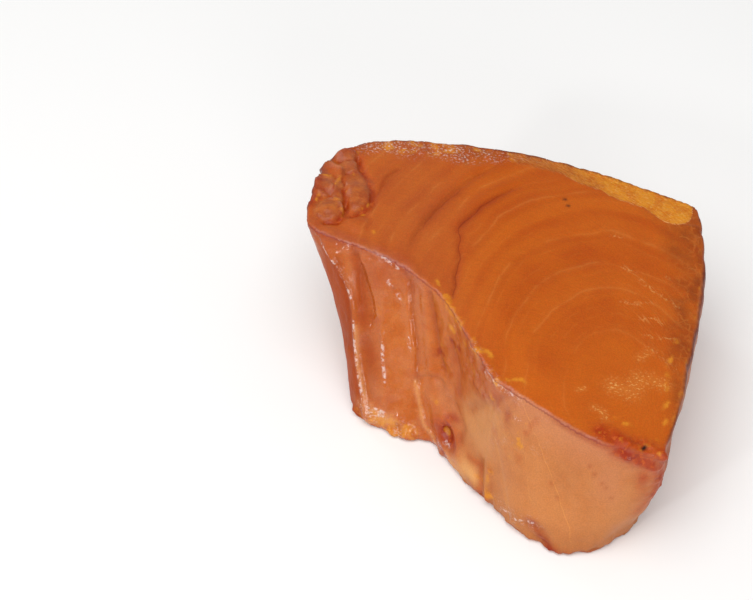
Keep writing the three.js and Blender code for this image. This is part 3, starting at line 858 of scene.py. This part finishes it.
def painted(tree, name):
    return add_node(tree, "ShaderNodeAttribute", attribute_name=name).outputs["Fac"]


def noise(tree, place, size, detail=2.0, ways="3D"):
    """Noise with lumps of about that size in millimetres, from 0 to 1."""
    key = "W" if ways == "1D" else "Vector"
    inputs = {key: place, "Scale": 1 / size, "Detail": detail}
    return add_node(tree, "ShaderNodeTexNoise", inputs, noise_dimensions=ways).outputs["Fac"]


def cell_edges(tree, inputs, ways="3D"):
    """How far a place is from the edges of the cells that fill space."""
    settings = {"voronoi_dimensions": ways, "feature": "DISTANCE_TO_EDGE"}
    return add_node(tree, "ShaderNodeTexVoronoi", inputs, **settings).outputs["Distance"]


def place_in_millimetres(tree, stretch=(1, 1, 1)):
    """Where a point of the piece is. A direction with a small stretch has long marks along it."""
    where = add_node(tree, "ShaderNodeTexCoord").outputs["Object"]
    inputs = {0: where, 1: [MILLIMETRES * share for share in stretch]}
    return add_node(tree, "ShaderNodeVectorMath", inputs, operation="MULTIPLY").outputs["Vector"]


def new_group(name, outputs, inputs=()):
    """An empty node group. Outputs and inputs are names of values."""
    group = bpy.data.node_groups.new(name, "ShaderNodeTree")
    for output in outputs:
        group.interface.new_socket(output, in_out="OUTPUT", socket_type="NodeSocketFloat")
    for socket in inputs:
        group.interface.new_socket(socket, in_out="INPUT", socket_type="NodeSocketFloat")
    return group


# Rings of muscle: soft bands with a painted sheen that lightens the middle, broken thin lines of fat between
# the flakes, the fibres that cross a flake, and glints, which are painted highlights in short bright strokes
# along the rings
rings = new_group("muscle_rings", ("Band_and_sheen", "Line", "Fibre", "Glint"))
place = place_in_millimetres(rings)
parts = add_node(rings, "ShaderNodeSeparateXYZ", {0: place})
to_left = minus(rings, RING_CENTRE[0], parts.outputs["X"])
to_back = maths(rings, "DIVIDE", minus(rings, parts.outputs["Y"], RING_CENTRE[1]), RING_STRETCH)
squares = plus(rings, maths(rings, "POWER", to_left, 2), maths(rings, "POWER", to_back, 2))
true_radius = maths(rings, "SQRT", squares)
wander = minus(rings, noise(rings, place, 30, 1), 0.5)
shake = minus(rings, noise(rings, place, 3, 2), 0.5)
radius = plus(rings, true_radius, times(rings, wander, 8), times(rings, shake, 1.2))
angle = maths(rings, "ARCTAN2", to_back, to_left)
along = times(rings, angle, true_radius)
band = steep(rings, noise(rings, radius, 9, 1.5, "1D"), 0.35, 0.68)
LINE_SPACING = 12.5
to_line = cell_edges(rings, {"W": radius, "Scale": 1 / LINE_SPACING, "Randomness": 0.6}, "1D")
broken = steep(rings, noise(rings, place, 11, 2), 0.38, 0.62)
past_middle = steep(rings, true_radius, 12, 28)
soft_line = steep(rings, to_line, 0.15, 0.0)
thin_line = steep(rings, to_line, 0.045, 0.0)
line = plus(rings, times(rings, soft_line, 0.45), thin_line)
line = times(rings, line, broken, past_middle, 0.6)
to_close_line = cell_edges(rings, {"W": radius, "Scale": 3.2 / LINE_SPACING}, "1D")
close_line = steep(rings, to_close_line, 0.12, 0.0)
patchy = steep(rings, noise(rings, place, 8, 2), 0.45, 0.65)
line = maths(rings, "MAXIMUM", line, times(rings, close_line, patchy, past_middle, 0.32))
# Painted sheen: lighter towards the middle of the rings
middle_light = times(rings, steep(rings, true_radius, 42, 12), 0.9)
band = maths(rings, "MAXIMUM", times(rings, band, past_middle), middle_light)
across_rings = add_node(rings, "ShaderNodeCombineXYZ", {"X": times(rings, radius, 0.16), "Y": along})
fibre = noise(rings, across_rings.outputs[0], 1.1, 2)
along_rings = add_node(rings, "ShaderNodeCombineXYZ", {"X": radius, "Y": times(rings, along, 0.45)})
glint = steep(rings, noise(rings, along_rings.outputs[0], 0.9, 3), 0.53, 0.66)
add_node(rings, "NodeGroupOutput", {"Band_and_sheen": band, "Line": line, "Fibre": fibre, "Glint": glint})

# The moist surface: wide clouds, small mottles, fine grain, small bright specks used for painted glints, and
# a net of tiny seams
skin = new_group("moist_surface", ("Cloud", "Mottle", "Grain", "Sparkle", "Net"))
place = place_in_millimetres(skin)
cloud = steep(skin, noise(skin, place, 20, 2), 0.3, 0.7)
mottle = steep(skin, noise(skin, place, 4.5, 3), 0.32, 0.68)
grain = noise(skin, place, 0.55, 2)
sparkle = steep(skin, noise(skin, place_in_millimetres(skin, (0.7, 1, 1)), 0.8, 3), 0.52, 0.68)
bent = add_node(skin, "ShaderNodeTexNoise", {"Vector": place, "Scale": 0.3}).outputs["Color"]
moved = add_node(skin, "ShaderNodeVectorMath", {0: bent, 1: (3, 3, 3), 2: place}, operation="MULTIPLY_ADD")
to_seam = cell_edges(skin, {"Vector": moved.outputs[0], "Scale": 0.26})
whole = steep(skin, noise(skin, place, 6, 2), 0.42, 0.6)
net = times(skin, steep(skin, to_seam, 0.14, 0.02), whole)
outputs = {"Cloud": cloud, "Mottle": mottle, "Grain": grain, "Sparkle": sparkle, "Net": net}
add_node(skin, "NodeGroupOutput", outputs)

# A thin seam that climbs a front face: where it starts along X, how far it leans for each millimetre up,
# how the lean grows, and its width
seam = new_group("thin_seam", ("Mask",), ("Foot", "Lean", "Bend", "Width"))
place = place_in_millimetres(seam)
parts = add_node(seam, "ShaderNodeSeparateXYZ", {0: place})
given = add_node(seam, "NodeGroupInput").outputs
up = parts.outputs["Z"]
lean = plus(seam, given["Lean"], times(seam, given["Bend"], up))
middle = plus(seam, given["Foot"], times(seam, lean, up))
sway = times(seam, minus(seam, noise(seam, place, 7, 3), 0.5), 3.0)
off = maths(seam, "ABSOLUTE", plus(seam, minus(seam, parts.outputs["X"], middle), sway))
thread = steep(seam, maths(seam, "DIVIDE", off, given["Width"]), 1.0, 0.25)
seam_mask = times(seam, thread, steep(seam, noise(seam, place, 9, 2), 0.30, 0.52))
add_node(seam, "NodeGroupOutput", {"Mask": seam_mask})

flesh = bpy.data.materials.new("smoked_flesh")
flesh.use_nodes = True
tree = flesh.node_tree
surface = tree.nodes["Principled BSDF"]
ring_marks = add_node(tree, "ShaderNodeGroup", node_tree=rings).outputs
marks = add_node(tree, "ShaderNodeGroup", node_tree=skin).outputs
attribute_of = {name: painted(tree, name) for name in (*regions, *stains_and_light, *distances)}
is_top = attribute_of["top"]
place = place_in_millimetres(tree)

# The cut top, from its plain colour up to its rings, fibres, painted glints and patches of painted sparkle
cut_top = mixed(tree, marks["Cloud"], colour("B24C04"), colour("BC5808"))
cut_top = tinted(tree, cut_top, "CA6812", ring_marks["Band_and_sheen"], 0.52)
cut_top = tinted(tree, cut_top, "A24404", ring_marks["Fibre"], 0.40)
cut_top = tinted(tree, cut_top, "CC7830", ring_marks["Line"], 0.46)
sway = times(tree, minus(tree, noise(tree, place, 2.2, 3), 0.5), 4.5)
thread = line_at(tree, plus(tree, attribute_of["glint_thread"], sway), 0, 0.75, 0.1)
frayed = steep(tree, noise(tree, place, 1.3, 3), 0.40, 0.66)
glinting = maths(tree, "MAXIMUM", times(tree, ring_marks["Glint"], 0.5), times(tree, thread, frayed))
# Painted highlights on the glints
cut_top = tinted(tree, cut_top, "DC9A54", glinting, attribute_of["glints"], 0.75)
# Painted sparkle in the patches
cut_top = tinted(tree, cut_top, "D08438", attribute_of["patches"], 0.30)
cut_top = tinted(tree, cut_top, "E8B468", marks["Sparkle"], attribute_of["patches"], 0.75)

# The pale knife cut, the folds, the hidden sides and the lumps
# Pale flesh of the knife cut, made paler with a painted sheen
pale_and_sheen = mixed(tree, marks["Cloud"], colour("B8703C"), colour("C27A42"))
pale_and_sheen = tinted(tree, pale_and_sheen, "C88450", marks["Mottle"], 0.30)
folds = mixed(tree, marks["Cloud"], colour("AE500E"), colour("BC6424"))
folds = tinted(tree, folds, "C67436", marks["Mottle"], 0.40)
grain_place = place_in_millimetres(tree, (1, 1, 0.14))
hidden = mixed(tree, marks["Cloud"], colour("A8541C"), colour("B8662E"))
dark_grain = steep(tree, noise(tree, grain_place, 4.0, 4), 0.35, 0.75)
pale_grain = steep(tree, noise(tree, grain_place, 1.6, 2), 0.56, 0.72)
hidden = tinted(tree, hidden, "98440E", dark_grain, 0.40)
hidden = tinted(tree, hidden, "CC8444", pale_grain, 0.20)
lump_colour = mixed(tree, marks["Mottle"], colour("9C420A"), colour("B85E14"))
# Painted glints on the lumps
lump_colour = tinted(tree, lump_colour, "C88448", marks["Sparkle"], 0.20)

underneath = mixed(tree, marks["Cloud"], colour("A84E16"), colour("BC6A34"))
shade = mixed(tree, is_top, underneath, cut_top)
shade = mixed(tree, attribute_of["lumps"], shade, lump_colour)
shade = mixed(tree, attribute_of["pale_cut"], shade, pale_and_sheen)
shade = mixed(tree, attribute_of["folded"], shade, folds)
shade = mixed(tree, attribute_of["hidden_side"], shade, hidden)

# Thin seams of fat climb the knife cut
SEAM_LINES = (
    # foot, lean, bend, width, strength
    (22.5, -0.20, -0.0032, 0.30, 0.28),
    (40.0, -0.40, 0.0006, 0.26, 0.08),
    (9.0, -0.20, 0.0004, 0.26, 0.09),
    (-2.0, -0.16, -0.0008, 0.26, 0.12),
)
for foot, lean, bend, width, strength in SEAM_LINES:
    inputs = {"Foot": foot, "Lean": lean, "Bend": bend, "Width": width}
    mask = add_node(tree, "ShaderNodeGroup", inputs, node_tree=seam).outputs["Mask"]
    shade = tinted(tree, shade, "E8A050", mask, attribute_of["pale_cut"], strength)

# Stains that the shape brings, and painted light: painted sheen inside the front rim, pinker with painted
# sheen near the rim, painted shade in the creases, brown where dried, pale sinews with painted light, gold
# where fat
STAIN_AND_LIGHT_COLOURS = (
    # stain or painted light, colour, strength
    ("painted_front_sheen", "DC7018", 0.22),
    ("pink_and_sheen", "BE7A5E", 0.55),
    ("deep", "A03E00", 0.90),
    ("dried", "682808", 0.72),
    ("crease_shade", "8E3406", 0.62),
    ("sinew_and_painted_light", "E8B070", 0.75),
    ("raw_red_and_crease_shade", "A03000", 0.88),
    ("red", "8C1E02", 0.86),
)
for name, code, strength in STAIN_AND_LIGHT_COLOURS:
    shade = tinted(tree, shade, code, attribute_of[name], strength)
fleck = steep(tree, noise(tree, place, 1.8, 3), 0.50, 0.66)
shade = tinted(tree, shade, "C86020", fleck, attribute_of["raw_red_and_crease_shade"], 0.55)
fat = mixed(tree, marks["Mottle"], colour("BE6A10"), colour("D88E24"))
patchy = steep(tree, plus(tree, attribute_of["gold"], times(tree, marks["Mottle"], 0.5)), 0.45, 1.1)
shade = mixed(tree, times(tree, patchy, 0.75), shade, fat)
shade = tinted(tree, shade, "CC7A34", marks["Net"], attribute_of["dried"], is_top, 0.5)

# The bevel of fibrous fat: brown and soft at the left, golden at the right with a sharp torn inner side.
# Fine pale fibres cross it, with painted glints on the fat and along the torn step.
parts = add_node(tree, "ShaderNodeSeparateXYZ", {0: place}).outputs
across_bevel = plus(tree, parts["Y"], times(tree, parts["X"], 0.9))
along_bevel = times(tree, minus(tree, parts["X"], parts["Y"]), 0.22)
bevel_place = add_node(tree, "ShaderNodeCombineXYZ", {"X": along_bevel, "Y": across_bevel}).outputs[0]
bevel_fibre = noise(tree, bevel_place, 0.8, 4)
torn_side = plus(tree, attribute_of["bevel_distance"], times(tree, bevel_fibre, 3.0))
crispness = plus(tree, 0.5, times(tree, attribute_of["bevel_gold"], 2.0))
bevel_mask = steep(tree, times(tree, minus(tree, torn_side, 1.6), crispness), -1.2, 1.6)
bevel_streak = steep(tree, bevel_fibre, 0.42, 0.64)
bevel_blotch = steep(tree, noise(tree, place, 5, 2), 0.35, 0.65)
bevel_fat = mixed(tree, bevel_blotch, colour("C66C0A"), colour("D6881A"))
bevel_fat = tinted(tree, bevel_fat, "E09A34", bevel_streak, 0.55)
bevel_fat = tinted(tree, bevel_fat, "EAB468", marks["Sparkle"], 0.35)
bevel_brown = mixed(tree, bevel_blotch, colour("9C4A12"), colour("B46018"))
bevel_brown = tinted(tree, bevel_brown, "D08A48", bevel_streak, 0.5)
bevel_fat = mixed(tree, attribute_of["bevel_gold"], bevel_brown, bevel_fat)
shade = mixed(tree, times(tree, bevel_mask, 0.92), shade, bevel_fat)
torn_step = line_at(tree, torn_side, 1.7, 0.5, 0.1)
torn_step = times(tree, torn_step, attribute_of["bevel_gold"], is_top, bevel_streak)
shade = tinted(tree, shade, "F2C48A", torn_step, 0.45)

# Painted shade in the open cracks of the cut top
inner_line = line_at(tree, attribute_of["inner_crack"], 0, 0.40, 0.05)
outer_line = line_at(tree, attribute_of["outer_crack"], 0, 0.6, 0.1)
crack_shade = maths(tree, "MAXIMUM", times(tree, inner_line, 0.5), times(tree, outer_line, 0.22))
shade = tinted(tree, shade, "7A2404", crack_shade)

# Painted highlights: pale glints on wet torn fibre and down the crests. The front rim has a thin dark line
# with a dusty pink painted sheen inside it, and the other rims are dark with dried skin.
wet_glint_paint = times(tree, marks["Sparkle"], attribute_of["painted_wet_glints"])
broken_light = steep(tree, noise(tree, place, 1.4, 3), 0.42, 0.62)
shining = times(tree, steep(tree, attribute_of["shine"], 0.95, 0.25), broken_light)
wet_glint_paint = maths(tree, "MAXIMUM", wet_glint_paint, times(tree, shining, 0.9))
shade = tinted(tree, shade, "ECD8D4", wet_glint_paint, 0.70)
to_rim = attribute_of["rim_distance"]
shade = tinted(tree, shade, "4E1A1C", steep(tree, to_rim, 2.1, 0.6), attribute_of["skin"], 0.75)
rim_edge = line_at(tree, to_rim, 0.7, 0.55, 0.1)
over_rim = line_at(tree, to_rim, 1.3, 0.6, 0.1)
patchy_light = steep(tree, noise(tree, place, 7, 2), 0.40, 0.65)
# Painted sheen along the rounded front rim
rim_light = times(tree, over_rim, attribute_of["rim"], patchy_light)
shade = tinted(tree, shade, "B88078", rim_light, 0.35)
shade = tinted(tree, shade, "7A2A30", rim_edge, attribute_of["rim"], 0.50)
grain_tone = steep(tree, marks["Grain"], 0.30, 0.70)
shade = mixed(tree, 0.09, shade, mixed(tree, grain_tone, colour("000000"), colour("FFE0B0")), "OVERLAY")
shade = tinted(tree, shade, "1A0C0A", attribute_of["char"])
tree.links.new(shade, surface.inputs["Base Color"])

# Roughness and wet gloss: satin on top, moist on the folds and the foot, wettest at the painted glints, and
# dull where dried
inputs = {"Value": marks["Mottle"], "To Min": 0.36, "To Max": 0.46}
rough = plus(
    tree,
    add_node(tree, "ShaderNodeMapRange", inputs).outputs["Result"],
    times(tree, attribute_of["wet"], -0.16),
    times(tree, attribute_of["deep"], 0.22),
    times(tree, wet_glint_paint, -0.16),
    times(tree, attribute_of["dried"], 0.12),
)
tree.links.new(rough, surface.inputs["Roughness"])
moist = plus(tree, times(tree, attribute_of["wet"], 0.48), times(tree, attribute_of["painted_wet_glints"], 0.5))
moist = times(tree, moist, minus(tree, 1, times(tree, attribute_of["deep"], 0.75)))
tree.links.new(moist, surface.inputs["Coat Weight"])
surface.inputs["Coat Roughness"].default_value = 0.12
surface.inputs["Specular IOR Level"].default_value = 0.20
surface.inputs["Subsurface Weight"].default_value = 0.2
surface.inputs["Subsurface Radius"].default_value = (1.0, 0.35, 0.12)
surface.inputs["Subsurface Scale"].default_value = 0.004

# Fine relief: grain everywhere, fibres and the painted glints on the top, the painted wet glints, streaks on
# the bevel, and mottles on the folds
fine = plus(
    tree,
    times(tree, marks["Grain"], 0.35),
    times(tree, ring_marks["Fibre"], 0.8),
    times(tree, glinting, attribute_of["glints"], 1.5),
    times(tree, wet_glint_paint, 2.0),
    times(tree, bevel_streak, bevel_mask, 1.2),
    times(tree, marks["Mottle"], attribute_of["folded"], 1.2),
)
bump = add_node(tree, "ShaderNodeBump", {"Height": fine, "Strength": 0.35, "Distance": 0.00035})
tree.links.new(bump.outputs["Normal"], surface.inputs["Normal"])
fish.data.materials.append(flesh)

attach(fish, "root")
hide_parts("marlin_piece")
